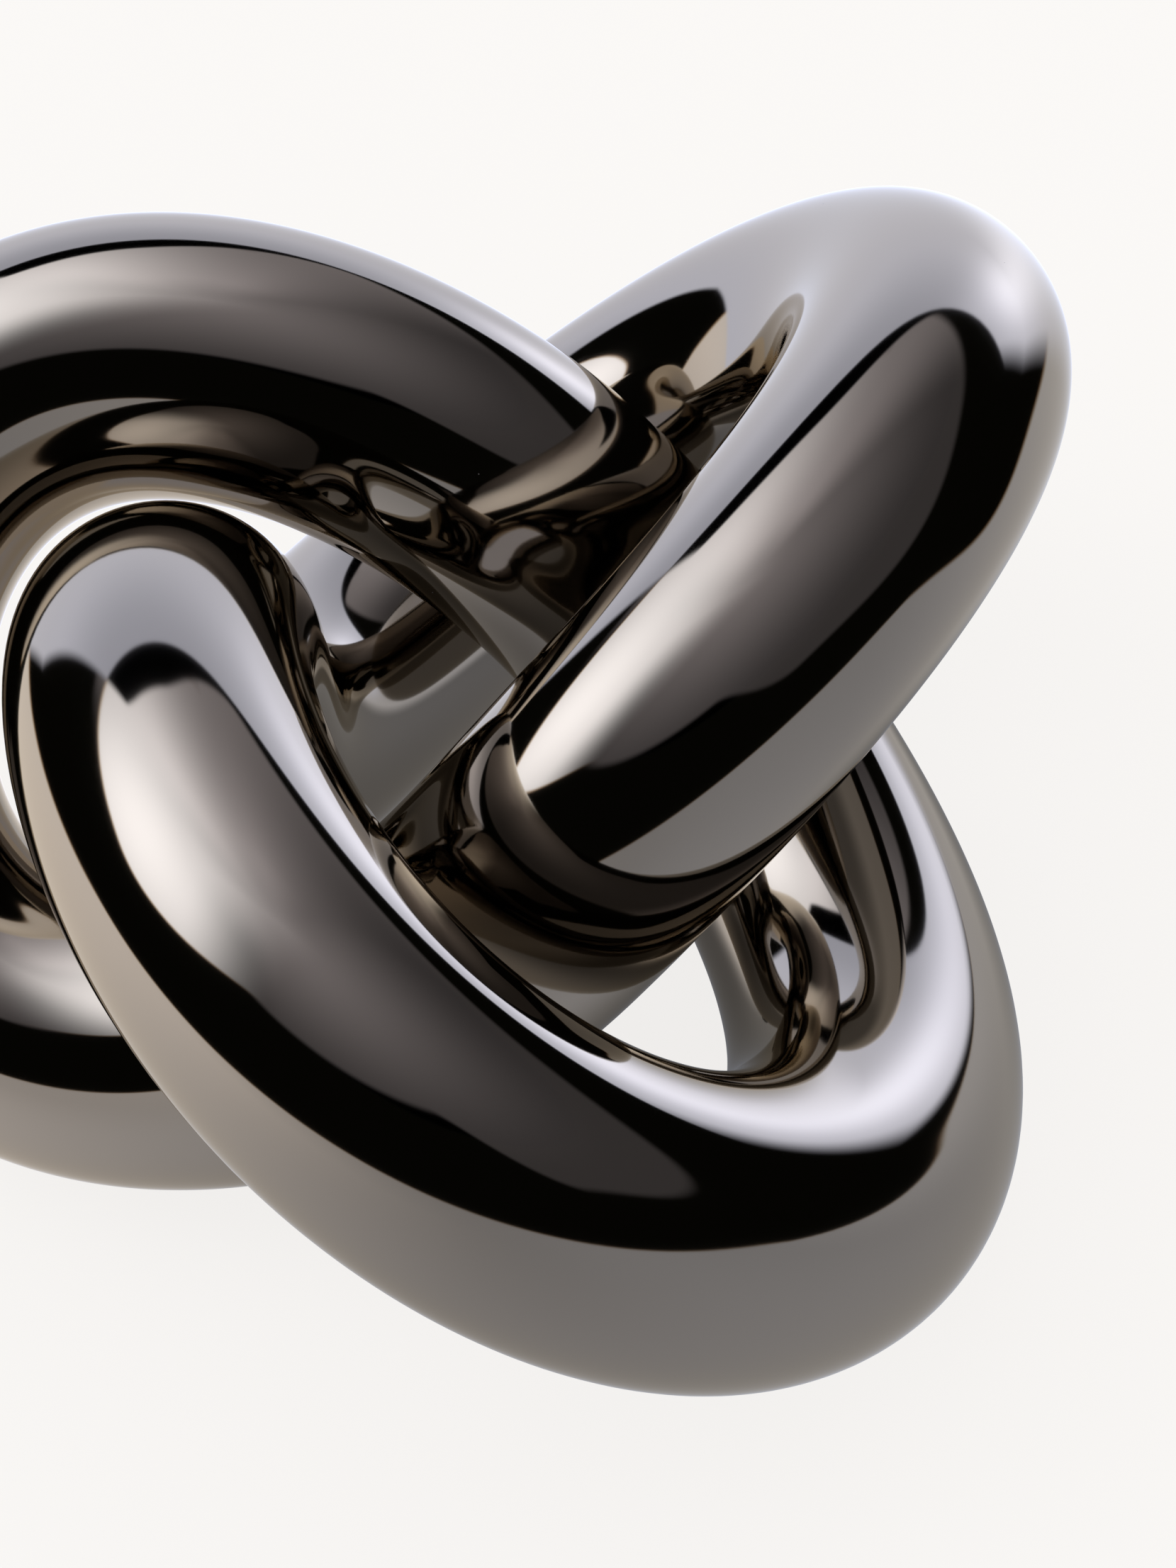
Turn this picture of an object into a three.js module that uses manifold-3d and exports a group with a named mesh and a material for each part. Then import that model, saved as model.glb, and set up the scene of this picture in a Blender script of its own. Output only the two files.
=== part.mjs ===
// Knot sculpture: a closed three-lobed knot of round tube that lies flat on three feet.
//
// The tube is nine hollow castings, joined end to end over split backing rings: three lobes, which
// are U bends, three upper arms, which each pass over a strand, and three lower arms, which each
// pass under one. A lower arm is ground flat where it comes lowest. A bumper foot is pushed into
// the vent hole there.
//
// Millimetres, +Z up. The origin is on the table, under the middle of the knot. The lone lobe
// points left, to -X, and the other two point front right and rear right.

import * as THREE from 'three';
import { mergeVertices } from 'three/addons/utils/BufferGeometryUtils.js';
import Module from 'manifold-3d';

const wasm = await Module();
wasm.setup();

// Centreline. A point on it is carried by several circular swings at once. Each swing has a
// radius, and goes round a whole number of times while the knot closes once.
const LOBE_SWING = 70; // twice clockwise: throws out the lobes
const CROSSING_SWING = 20; // once round: carries the lobes past each other, so that they cross
const TIP_SWING = 14; // five times clockwise: widens the tips of the lobes
const WAIST_SWING = 8; // four times round: draws the strands in beside the crossings
const FOLD_SWING = -6.5; // four times clockwise: folds the left arms tightly round the left lobe
const LEAN_SWING = 1.5; // twice round: leans the weight of the knot to the left
const SHOULDER_SWING = -1.5; // five times round: fills the shoulders of the left lobe
const RIPPLE_SWING = -1; // seven times round: straightens the strands between the bends
const LIFT = 40; // three waves up and down: passes each strand over and under
const LIFT_SKEW = 4; // six waves: moves the high and low places towards the lobes

// Tube. It is as thick as the knot leaves room for, about 50 across.
const STRAND_GAP = 4; // least gap between two strands where they cross
const BEND_RESERVE = 4.8; // the tightest bend's radius is at least this much more than the tube's
const WALL = 4;
const OUTSIDE_FACES = 24;
const BORE_FACES = 16;
const STATION_ANGLE = 3; // degrees round the knot from one section to the next

// Joints between castings
const LOBE_HALF_ANGLE = 15; // degrees round the knot from a lobe's tip to its joints
const WELD_GAP = 0.3;
const RING_LENGTH = 28;
const RING_WALL = 2.5;
const RING_CLEARANCE = 0.35;

// Feet
const FLAT_DEPTH = 1; // ground off the underside of the tube
const HEAD_RADIUS = 6;
const HEAD_HEIGHT = 2;
const SEAT_GAP = 0.3; // between a foot's head and the flat
const STEM_RADIUS = 3;
const STEM_CLEARANCE = 0.3; // round the stem in its vent hole
const BARB_RADIUS = 3.9;
const BARB_GAP = 0.3; // between the barb and the inside of the wall
const BARB_HEIGHT = 3;
const FOOT_FACES = 24;

const SWINGS = [
  { radius: LOBE_SWING, turns: -2 },
  { radius: CROSSING_SWING, turns: 1 },
  { radius: TIP_SWING, turns: -5 },
  { radius: WAIST_SWING, turns: 4 },
  { radius: FOLD_SWING, turns: -4 },
  { radius: LEAN_SWING, turns: 2 },
  { radius: SHOULDER_SWING, turns: 5 },
  { radius: RIPPLE_SWING, turns: 7 },
];
const CROSSINGS = 3;
const FULL_TURN = 360;
const THIRD_TURN = FULL_TURN / CROSSINGS;
const UP = new THREE.Vector3(0, 0, 1);

// Point of the centreline at an angle in degrees, counted from the tip of the left lobe
function knotPoint(degrees) {
  const angle = THREE.MathUtils.degToRad(degrees);
  const point = new THREE.Vector3();
  for (const { radius, turns } of SWINGS) {
    point.x -= radius * Math.cos(turns * angle);
    point.y -= radius * Math.sin(turns * angle);
  }
  point.z = LIFT * Math.sin(CROSSINGS * angle) + LIFT_SKEW * Math.sin(2 * CROSSINGS * angle);
  return point;
}

const TANGENT_REACH = 0.05; // degrees to each side of a point that give its direction

function knotTangent(degrees) {
  const before = knotPoint(degrees - TANGENT_REACH);
  return knotPoint(degrees + TANGENT_REACH).sub(before).normalize();
}

// Degrees round the knot that a length along the centreline takes at one place
function anglePerLength(degrees, length) {
  const before = knotPoint(degrees - TANGENT_REACH);
  const reach = knotPoint(degrees + TANGENT_REACH).distanceTo(before);
  return (length * 2 * TANGENT_REACH) / reach;
}

const samples = Array.from({ length: FULL_TURN }, (_, degrees) => knotPoint(degrees));

// Least distance between points of two different strands
function closestApproach() {
  const sameStrand = THIRD_TURN / 2;
  let closest = Infinity;
  for (let i = 0; i < FULL_TURN; i += 1) {
    for (let j = i + sameStrand; j <= i + FULL_TURN / 2; j += 1) {
      closest = Math.min(closest, samples[i].distanceTo(samples[j % FULL_TURN]));
    }
  }
  return closest;
}

// Radius of the circle through three neighbouring points, where it is least
function tightestBend() {
  const neighbour = 2;
  let tightest = Infinity;
  for (let i = 0; i < FULL_TURN; i += 1) {
    const middle = samples[i];
    const before = samples[(i + FULL_TURN - neighbour) % FULL_TURN];
    const after = samples[(i + neighbour) % FULL_TURN];
    const area = new THREE.Triangle(before, middle, after).getArea();
    const sides = before.distanceTo(middle) * middle.distanceTo(after) * after.distanceTo(before);
    tightest = Math.min(tightest, sides / (4 * area));
  }
  return tightest;
}

// Angle of the lowest point of the centreline between two angles
function lowestAngle(from, to) {
  const fineness = 0.1;
  let lowest = from;
  for (let degrees = from; degrees <= to; degrees += fineness) {
    if (knotPoint(degrees).z < knotPoint(lowest).z) lowest = degrees;
  }
  return lowest;
}

const tubeRadius = Math.min((closestApproach() - STRAND_GAP) / 2, tightestBend() - BEND_RESERVE);
const boreRadius = tubeRadius - WALL;
const extent = new THREE.Box3().setFromPoints(samples);
const lowestPoint = extent.min.z;
const flatHeight = lowestPoint - tubeRadius + FLAT_DEPTH; // in the knot's own frame
const knotHeight = HEAD_HEIGHT + SEAT_GAP - flatHeight;
const knotPosition = new THREE.Vector3(-(extent.min.x + extent.max.x) / 2, 0, knotHeight);

// Directions across the tube, one for each degree. Each is carried on from the one before without
// turning about the tube, and a slow even twist makes the last meet the first.
function carriedNormals() {
  const first = new THREE.Vector3().crossVectors(UP, knotTangent(0)).normalize();
  const normals = [first];
  for (let degrees = 1; degrees <= FULL_TURN; degrees += 1) {
    const tangent = knotTangent(degrees);
    const normal = normals[degrees - 1].clone();
    normals.push(normal.addScaledVector(tangent, -normal.dot(tangent)).normalize());
  }
  const last = normals[FULL_TURN];
  const side = new THREE.Vector3().crossVectors(knotTangent(0), first);
  const twist = Math.atan2(last.dot(side), last.dot(first));
  return normals.map((normal, degrees) => {
    const share = degrees / FULL_TURN;
    return normal.clone().applyAxisAngle(knotTangent(degrees), -twist * share);
  });
}

const normals = carriedNormals();

function knotNormal(degrees) {
  const before = THREE.MathUtils.euclideanModulo(Math.floor(degrees), FULL_TURN);
  const share = degrees - Math.floor(degrees);
  const tangent = knotTangent(degrees);
  const normal = normals[before].clone().lerp(normals[before + 1], share);
  return normal.addScaledVector(tangent, -normal.dot(tangent)).normalize();
}

// A stretch of the centreline with a section at each end and at every station between. Stations lie
// at the same places for all pieces, so that the facets of one run on into the next.
class KnotStretch extends THREE.Curve {
  constructor(from, to) {
    super();
    this.stations = [from];
    const lastInside = Math.ceil(to / STATION_ANGLE) - 1;
    for (let i = Math.floor(from / STATION_ANGLE) + 1; i <= lastInside; i += 1) {
      this.stations.push(i * STATION_ANGLE);
    }
    this.stations.push(to);
  }

  get steps() {
    return this.stations.length - 1;
  }

  getPoint(share) {
    return knotPoint(this.stations[Math.round(share * this.steps)]);
  }

  getUtoTmapping(share) {
    return share;
  }

  computeFrenetFrames() {
    const tangents = this.stations.map(knotTangent);
    const across = this.stations.map(knotNormal);
    const binormals = tangents.map((tangent, i) => tangent.clone().cross(across[i]));
    return { tangents, normals: across, binormals };
  }
}

// Corners of a regular section
function sectionCorners(radius, faces) {
  return Array.from({ length: faces }, (_, i) => {
    const angle = (i / faces) * 2 * Math.PI;
    return new THREE.Vector2(radius * Math.cos(angle), radius * Math.sin(angle));
  });
}

function sweep(section, from, to) {
  const path = new KnotStretch(from, to);
  return new THREE.ExtrudeGeometry(section, { steps: path.steps, extrudePath: path });
}

function toSolid(geometry) {
  const bare = geometry.clone();
  bare.deleteAttribute('normal');
  bare.deleteAttribute('uv');
  const merged = mergeVertices(bare);
  const vertProperties = new Float32Array(merged.getAttribute('position').array);
  const triVerts = new Uint32Array(merged.getIndex().array);
  return new wasm.Manifold(new wasm.Mesh({ numProp: 3, vertProperties, triVerts }));
}

function toGeometry(solid) {
  const mesh = solid.getMesh();
  const geometry = new THREE.BufferGeometry();
  geometry.setAttribute('position', new THREE.BufferAttribute(mesh.vertProperties, 3));
  geometry.setIndex(new THREE.BufferAttribute(mesh.triVerts, 1));
  geometry.computeVertexNormals();
  return geometry;
}

// One hollow casting, a little short at each end for the weld
function castingGeometry(from, to) {
  const section = new THREE.Shape(sectionCorners(tubeRadius, OUTSIDE_FACES));
  section.holes.push(new THREE.Path(sectionCorners(boreRadius, BORE_FACES)));
  const start = from + anglePerLength(from, WELD_GAP / 2);
  const end = to - anglePerLength(to, WELD_GAP / 2);
  return sweep(section, start, end);
}

// Box that takes off everything below the flats
function grindingCutter() {
  const size = extent.getSize(new THREE.Vector3()).addScalar(4 * tubeRadius);
  const cutter = new THREE.BoxGeometry(size.x, size.y, tubeRadius);
  return cutter.translate(0, 0, flatHeight - tubeRadius / 2);
}

// Drill through the lower wall under the lowest point of a lower arm
function ventCutter(place) {
  const radius = STEM_RADIUS + STEM_CLEARANCE;
  const cutter = new THREE.CylinderGeometry(radius, radius, tubeRadius, FOOT_FACES);
  return cutter.rotateX(Math.PI / 2).translate(place.x, place.y, flatHeight);
}

function lowerArmGeometry(from, to) {
  const place = knotPoint(lowestAngle(from, to));
  const ground = toSolid(castingGeometry(from, to)).subtract(toSolid(grindingCutter()));
  return toGeometry(ground.subtract(toSolid(ventCutter(place))));
}

// Split ring inside a joint. Its slit is one face of the bore wide, and lets it spring open.
function ringGeometry(joint) {
  const outside = sectionCorners(boreRadius - RING_CLEARANCE, BORE_FACES);
  const inside = sectionCorners(boreRadius - RING_CLEARANCE - RING_WALL, BORE_FACES);
  const section = new THREE.Shape([...outside, ...inside.reverse()]);
  const half = anglePerLength(joint, RING_LENGTH / 2);
  return sweep(section, joint - half, joint + half);
}

// Push-in foot, turned about its own axis: a flat head, a stem and a barb behind the wall
function footGeometry() {
  const wallTop = HEAD_HEIGHT + SEAT_GAP + WALL - FLAT_DEPTH;
  const wallRise = BARB_RADIUS * Math.tan(Math.PI / BORE_FACES);
  const barbBottom = wallTop + wallRise + BARB_GAP;
  const profile = [
    new THREE.Vector2(0, 0),
    new THREE.Vector2(HEAD_RADIUS, 0),
    new THREE.Vector2(HEAD_RADIUS, HEAD_HEIGHT),
    new THREE.Vector2(STEM_RADIUS, HEAD_HEIGHT),
    new THREE.Vector2(STEM_RADIUS, barbBottom),
    new THREE.Vector2(BARB_RADIUS, barbBottom),
    new THREE.Vector2(STEM_RADIUS, barbBottom + BARB_HEIGHT),
    new THREE.Vector2(0, barbBottom + BARB_HEIGHT),
  ];
  const turned = new THREE.LatheGeometry(profile, FOOT_FACES);
  return toGeometry(toSolid(turned.rotateX(Math.PI / 2)));
}

const plated = new THREE.MeshStandardMaterial({ color: 0x4a4643, roughness: 0.06, metalness: 1 });
const bareCast = new THREE.MeshStandardMaterial({ color: 0xb4b4b0, roughness: 0.5, metalness: 1 });
const rubber = new THREE.MeshStandardMaterial({ color: 0x1c1c1c, roughness: 0.8, metalness: 0 });

function namedMesh(name, geometry, material) {
  const mesh = new THREE.Mesh(geometry, material.clone());
  mesh.name = name;
  return mesh;
}

const sculpture = new THREE.Group();
const knot = new THREE.Group();
knot.position.copy(knotPosition);
sculpture.add(knot);

// Thirds of the knot in order: each is a lobe, the two arms after it, and the foot of the lower arm.
// The knot rises through every lobe, so a lobe has a lower joint and an upper one.
const THIRDS = [
  { lobe: 'left', arms: 'rear', foot: 'right' },
  { lobe: 'front', arms: 'left', foot: 'rear' },
  { lobe: 'rear', arms: 'front', foot: 'front' },
];

THIRDS.forEach(({ lobe, arms, foot }, i) => {
  const tip = i * THIRD_TURN;
  const lobeStart = tip - LOBE_HALF_ANGLE;
  const lobeEnd = tip + LOBE_HALF_ANGLE;
  const armsMeet = tip + THIRD_TURN / 2;
  const nextLobe = tip + THIRD_TURN - LOBE_HALF_ANGLE;
  knot.add(namedMesh(`${lobe}_lobe`, castingGeometry(lobeStart, lobeEnd), plated));
  knot.add(namedMesh(`${arms}_upper_arm`, castingGeometry(lobeEnd, armsMeet), plated));
  knot.add(namedMesh(`${arms}_lower_arm`, lowerArmGeometry(armsMeet, nextLobe), plated));
  knot.add(namedMesh(`${lobe}_lobe_lower_ring`, ringGeometry(lobeStart), bareCast));
  knot.add(namedMesh(`${lobe}_lobe_upper_ring`, ringGeometry(lobeEnd), bareCast));
  knot.add(namedMesh(`${arms}_arms_ring`, ringGeometry(armsMeet), bareCast));

  const place = knotPoint(lowestAngle(armsMeet, nextLobe)).add(knotPosition);
  const pushIn = namedMesh(`${foot}_foot`, footGeometry(), rubber);
  pushIn.position.set(place.x, place.y, 0);
  sculpture.add(pushIn);
});

export default sculpture;
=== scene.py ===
"""Looks of the knot sculpture: a closed three-lobed knot of thick tube with a dark mirror finish.

The nine castings show as one polished and plated skin, because their joints are dressed flush. The
skin is swept along the same centreline formula as the castings. The feet are turned, and the rings
inside keep their own meshes. Metres, in the frame of the packed part.
"""

import math

import bmesh
import bpy
from mathutils import Matrix, Vector


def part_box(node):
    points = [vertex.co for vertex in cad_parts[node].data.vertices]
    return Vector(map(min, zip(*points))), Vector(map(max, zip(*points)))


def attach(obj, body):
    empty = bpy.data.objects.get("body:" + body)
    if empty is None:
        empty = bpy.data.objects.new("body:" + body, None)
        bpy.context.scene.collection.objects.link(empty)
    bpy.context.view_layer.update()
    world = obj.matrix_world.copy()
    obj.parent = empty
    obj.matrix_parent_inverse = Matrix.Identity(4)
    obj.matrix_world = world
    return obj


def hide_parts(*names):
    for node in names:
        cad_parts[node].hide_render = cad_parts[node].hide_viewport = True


bl_info = {
    "name": "Knot sculpture",
    "version": (1, 0, 0),
    "blender": (4, 5, 0),
    "location": "3D View > Sidebar > Knot",
    "description": "Makes a mirror-polished knot of round tube, its feet and its studio",
    "category": "Add Mesh",
}

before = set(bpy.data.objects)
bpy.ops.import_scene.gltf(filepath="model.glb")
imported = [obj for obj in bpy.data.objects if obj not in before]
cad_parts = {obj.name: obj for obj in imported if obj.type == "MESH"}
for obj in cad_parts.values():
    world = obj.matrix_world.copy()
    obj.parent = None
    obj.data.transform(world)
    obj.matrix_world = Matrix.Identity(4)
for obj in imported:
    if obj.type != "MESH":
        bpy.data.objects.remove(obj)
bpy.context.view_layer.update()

MM = 0.001
BODY = "root"
LOBES = ("left", "front", "rear")
FEET = ("right_foot", "rear_foot", "front_foot")
CASTINGS = [f"{place}_{part}" for place in LOBES for part in ("lobe", "upper_arm", "lower_arm")]
RINGS = [f"{place}_lobe_{level}_ring" for place in LOBES for level in ("lower", "upper")]
RINGS += [f"{place}_arms_ring" for place in LOBES]

# Swings that carry a point of the centreline, by property name, each with its turns round the knot
SWINGS = {
    "lobe_swing": -2,
    "crossing_swing": 1,
    "tip_swing": -5,
    "waist_swing": 4,
    "fold_swing": -4,
    "lean_swing": 2,
    "shoulder_swing": 5,
    "ripple_swing": 7,
}
# Waves that lift it, in the same way
WAVES = {"lift": 3, "lift_skew": 6}


def length(name, description, millimetres):
    return bpy.props.FloatProperty(
        name=name,
        description=description,
        default=millimetres * MM,
        unit="LENGTH",
        subtype="DISTANCE",
        precision=5,
    )


def share(name, description, default):
    return bpy.props.FloatProperty(
        name=name, description=description, default=default, min=0, max=1, subtype="FACTOR"
    )


def angle(name, description, degrees):
    return bpy.props.FloatProperty(
        name=name,
        description=description,
        default=math.radians(degrees),
        unit="ROTATION",
        subtype="ANGLE",
    )


def colour(name, description, default):
    return bpy.props.FloatVectorProperty(
        name=name, description=description, default=default, size=3, min=0, subtype="COLOR"
    )


def count(name, description, default):
    return bpy.props.IntProperty(name=name, description=description, default=default, min=3)


class KnotShape(bpy.types.PropertyGroup):
    """Sizes of the tube and of its centreline"""

    lobe_swing: length("Lobe swing", "Twice clockwise: throws out the lobes", 70)
    crossing_swing: length("Crossing swing", "Once round: carries the lobes past each other", 20)
    tip_swing: length("Tip swing", "Five times clockwise: widens the tips of the lobes", 14)
    waist_swing: length("Waist swing", "Four times round: draws in the strands at crossings", 8)
    fold_swing: length("Fold swing", "Four times clockwise: tightens the fold at the left", -6.5)
    lean_swing: length("Lean swing", "Twice round: leans the weight to the left", 1.5)
    shoulder_swing: length("Shoulder swing", "Five times round: fills the left lobe", -1.5)
    ripple_swing: length("Ripple swing", "Seven times round: straightens the strands", -1)
    lift: length("Lift", "Three waves up and down: passes each strand over and under", 40)
    lift_skew: length("Lift skew", "Six waves: moves high and low places to the lobes", 4)
    tube_radius: length("Tube radius", "Outside of the polished tube, just inside the CAD's", 24.77)
    wall: length("Wall", "From the polished outside to the bore", 3.8)
    flat_height: length("Flat height", "Of the ground flats above the table", 2.3)
    flat_depth: length("Flat depth", "Ground off the underside of the tube", 0.8)
    vent_radius: length("Vent radius", "Of the hole that a foot is pushed into", 3.3)
    stations: count("Stations", "Sections round the knot", 800)
    faces: count("Faces", "Faces round the tube", 96)
    bore_stations: count("Bore stations", "Sections round the bore", 400)
    bore_faces: count("Bore faces", "Faces round the bore", 24)
    crease: angle("Crease", "Edges sharper than this stay sharp", 12)


class FootShape(bpy.types.PropertyGroup):
    """Sizes of the push-in feet"""

    head_radius: length("Head radius", "Of the flat head that the knot stands on", 6)
    head_height: length("Head height", "From the table to the top of the head", 2)
    head_round: length("Head rounding", "Radius of the head's moulded edges", 0.6)
    dimple_radius: length("Dimple radius", "Of the moulding dimple in the underside", 2.2)
    dimple_depth: length("Dimple depth", "Of the moulding dimple in the underside", 0.4)
    stem_radius: length("Stem radius", "Of the stem in the vent hole", 3)
    barb_radius: length("Barb radius", "Of the barb behind the wall", 3.9)
    barb_bottom: length("Barb height", "From the table to the barb", 6.35)
    barb_length: length("Barb length", "Of the tapered barb", 3)
    tip_radius: length("Tip radius", "Of the tip that the barb tapers to", 2.4)
    faces: count("Faces", "Faces round a foot", 64)
    crease: angle("Crease", "Edges sharper than this stay sharp", 30)


class Finish(bpy.types.PropertyGroup):
    """Colours and textures of the finishes"""

    nickel: colour("Black nickel", "Reflection of the plating", (0.34, 0.30, 0.25))
    nickel_edge: colour("Nickel edge", "Reflection towards the rim", (0.86, 0.81, 0.72))
    nickel_roughness: share("Nickel roughness", "Of the clean polished plating", 0.045)
    ripple_size: length("Ripple size", "From one polishing ripple to the next", 22)
    ripple_height: length("Ripple height", "Of the polishing ripples", 0.02)
    dust_spacing: length("Dust spacing", "Between specks of dust", 5)
    ring: colour("Ring metal", "Bare extruded aluminium", (0.7, 0.7, 0.69))
    rubber: colour("Foot rubber", "Matt moulded rubber", (0.03, 0.03, 0.03))


class Studio(bpy.types.PropertyGroup):
    """Camera, background and lights"""

    distance: length("Distance", "From the camera to the point it aims at", 640.3)
    azimuth: angle("Azimuth", "Of the camera, to the right of the front", 13.5)
    elevation: angle("Elevation", "Of the camera, above the horizon", 46.98)
    roll: angle("Roll", "The camera's right side dips by this", 6.33)
    aim: bpy.props.FloatVectorProperty(
        name="Aim",
        description="Point in the middle of the picture",
        default=(0.03928, -0.00287, 0.05584),
        size=3,
        unit="LENGTH",
        subtype="XYZ",
    )
    lens: bpy.props.FloatProperty(
        name="Lens", description="Focal length on a 36 mm long side", default=85.64, unit="CAMERA"
    )
    pale: colour("Background", "Colour of the floor and the backdrop", (0.956, 0.939, 0.922))
    shade: share("Shade", "Share of the floor's brightness that a shadow can take", 0.12)
    soft_light: colour("Soft light", "Colour of the big soft light", (2.78, 2.94, 3.38))
    ceiling: colour("Ceiling", "Colour of the ceiling at its brightest", (0.485, 0.475, 0.55))
    backdrop: colour("Backdrop", "Colour of the lit rear wall", (1.08, 1.2, 1.6))
    sweep: colour("Sweep", "Colour of the floor away from the soft light", (0.97, 1.03, 1.2))
    lit_sweep: colour("Lit sweep", "Added by the soft light in the middle", (0.17, 0.16, 0.155))
    darkness: colour("Darkness", "Colour of the black drapes", (0.004, 0.004, 0.003))
    room: length("Room", "Radius of the studio", 3000)


GROUPS = {
    "knot_shape": KnotShape,
    "foot_shape": FootShape,
    "knot_finish": Finish,
    "knot_studio": Studio,
}


def sizes(name):
    """The values of one of the property groups."""
    return getattr(bpy.context.scene, name)


class Recipe:
    """A node tree with short ways to add a node, feed it and link it."""

    def __init__(self, tree):
        self.tree = tree

    def node(self, kind, feeds=None, **settings):
        made = self.tree.nodes.new(kind)
        for name, value in settings.items():
            setattr(made, name, value)
        for socket, value in (feeds or {}).items():
            self.feed(made.inputs[socket], value)
        return made

    def feed(self, socket, value):
        if isinstance(value, bpy.types.NodeSocket):
            self.tree.links.new(value, socket)
        else:
            socket.default_value = value

    def maths(self, operation, *values):
        node = self.node("ShaderNodeMath", dict(enumerate(values)), operation=operation)
        return node.outputs[0]

    def vector_maths(self, operation, *values):
        node = self.node("ShaderNodeVectorMath", dict(enumerate(values)), operation=operation)
        return node.outputs[0]

    def scaled(self, vector, factor):
        feeds = {"Vector": vector, "Scale": factor}
        return self.node("ShaderNodeVectorMath", feeds, operation="SCALE").outputs[0]

    def combined(self, x=0.0, y=0.0, z=0.0):
        return self.node("ShaderNodeCombineXYZ", {"X": x, "Y": y, "Z": z}).outputs[0]

    def ramp(self, value, start, end, low=0.0, high=1.0):
        """A smooth rise from low to high while value goes from start to end."""
        feeds = {"Value": value, "From Min": start, "From Max": end, "To Min": low, "To Max": high}
        node = self.node("ShaderNodeMapRange", feeds, interpolation_type="SMOOTHSTEP")
        return node.outputs[0]

    def group(self, tree, feeds):
        kind = "GeometryNodeGroup" if tree.bl_idname == "GeometryNodeTree" else "ShaderNodeGroup"
        node = self.tree.nodes.new(kind)
        node.node_tree = tree
        for socket, value in feeds.items():
            self.feed(node.inputs[socket], value)
        return node.outputs


def new_tree(name, kind, inputs, outputs):
    """A node group, its recipe, and its input and output nodes. Sockets are given as name: type."""
    tree = bpy.data.node_groups.new(name, kind)
    for label, socket in inputs.items():
        tree.interface.new_socket(name=label, in_out="INPUT", socket_type="NodeSocket" + socket)
    for label, socket in outputs.items():
        tree.interface.new_socket(name=label, in_out="OUTPUT", socket_type="NodeSocket" + socket)
    recipe = Recipe(tree)
    return recipe, recipe.node("NodeGroupInput").outputs, recipe.node("NodeGroupOutput").inputs


def shown(name, mesh):
    """A new object of the scene for a mesh."""
    made = bpy.data.objects.new(name, mesh)
    bpy.context.scene.collection.objects.link(made)
    return made


def grown(name, tree, values):
    """The plain object that a geometry node tree makes from these named values."""
    carrier = shown(name + "_carrier", bpy.data.meshes.new(name + "_carrier"))
    modifier = carrier.modifiers.new(name, "NODES")
    modifier.node_group = tree
    for item in tree.interface.items_tree:
        if item.in_out == "INPUT":
            modifier[item.identifier] = values[item.name]
    graph = bpy.context.evaluated_depsgraph_get()
    mesh = bpy.data.meshes.new_from_object(carrier.evaluated_get(graph))
    bpy.data.objects.remove(carrier)
    mesh.name = name
    if not mesh.polygons:
        raise RuntimeError(f"the tree of {name} made no faces")
    return shown(name, mesh)


# Finishes


def mottle_group():
    """Cloudy variation from 0 to 1, of any size: polishing ripples, haze, moulding skin."""
    inputs = {"Position": "Vector", "Size": "Float", "Detail": "Float"}
    recipe, given, made = new_tree("Mottle", "ShaderNodeTree", inputs, {"Mottle": "Float"})
    scale = recipe.maths("DIVIDE", 1.0, given["Size"])
    feeds = {"Vector": given["Position"], "Scale": scale, "Detail": given["Detail"]}
    noise = recipe.node("ShaderNodeTexNoise", feeds)
    recipe.feed(made["Mottle"], noise.outputs[0])
    return recipe.tree


def dust_group():
    """Mask of a few specks of dust."""
    inputs = {"Position": "Vector", "Spacing": "Float", "Speck": "Float", "Share": "Float"}
    recipe, given, made = new_tree("Dust", "ShaderNodeTree", inputs, {"Dust": "Float"})
    scale = recipe.maths("DIVIDE", 1.0, given["Spacing"])
    cells = recipe.node("ShaderNodeTexVoronoi", {"Vector": given["Position"], "Scale": scale})
    speck = recipe.maths("DIVIDE", given["Speck"], given["Spacing"])
    near = recipe.maths("LESS_THAN", cells.outputs["Distance"], speck)
    chance = recipe.node("ShaderNodeSeparateColor", {"Color": cells.outputs["Color"]})
    chosen = recipe.maths("LESS_THAN", chance.outputs[0], given["Share"])
    recipe.feed(made["Dust"], recipe.maths("MULTIPLY", near, chosen))
    return recipe.tree


SHARED = {}


def shared(make_group):
    """A group that several materials use, built once."""
    if make_group.__name__ not in SHARED:
        SHARED[make_group.__name__] = make_group()
    return SHARED[make_group.__name__]


def blank_material(name):
    """A new material, its recipe and the position on the object."""
    material = bpy.data.materials.new(name)
    material.use_nodes = True
    material.node_tree.nodes.clear()
    recipe = Recipe(material.node_tree)
    position = recipe.node("ShaderNodeTexCoord").outputs["Object"]
    return material, recipe, position


def new_material(name):
    """A new material with a principled shader, its recipe, the shader and the position."""
    material, recipe, position = blank_material(name)
    shader = recipe.node("ShaderNodeBsdfPrincipled")
    recipe.node("ShaderNodeOutputMaterial", {"Surface": shader.outputs[0]})
    return material, recipe, shader, position


def with_alpha(rgb, factor=1.0):
    """A colour, brighter or darker by a factor, with its alpha."""
    return (*(c * factor for c in rgb), 1.0)


def mixed(recipe, factor, first, second):
    """The mix of two colours."""
    node = recipe.node("ShaderNodeMix", data_type="RGBA")
    recipe.feed(node.inputs["Factor"], factor)
    sockets = [socket for socket in node.inputs if socket.type == "RGBA"]
    recipe.feed(sockets[0], first)
    recipe.feed(sockets[1], second)
    return next(socket for socket in node.outputs if socket.type == "RGBA")


def bumped(recipe, shader, height, distance):
    """Feeds a height, from 0 to 1, to the shader's normal. The distance is what 1 stands for."""
    bump = recipe.node("ShaderNodeBump", {"Height": height, "Distance": distance})
    recipe.feed(shader.inputs["Normal"], bump.outputs[0])


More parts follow.
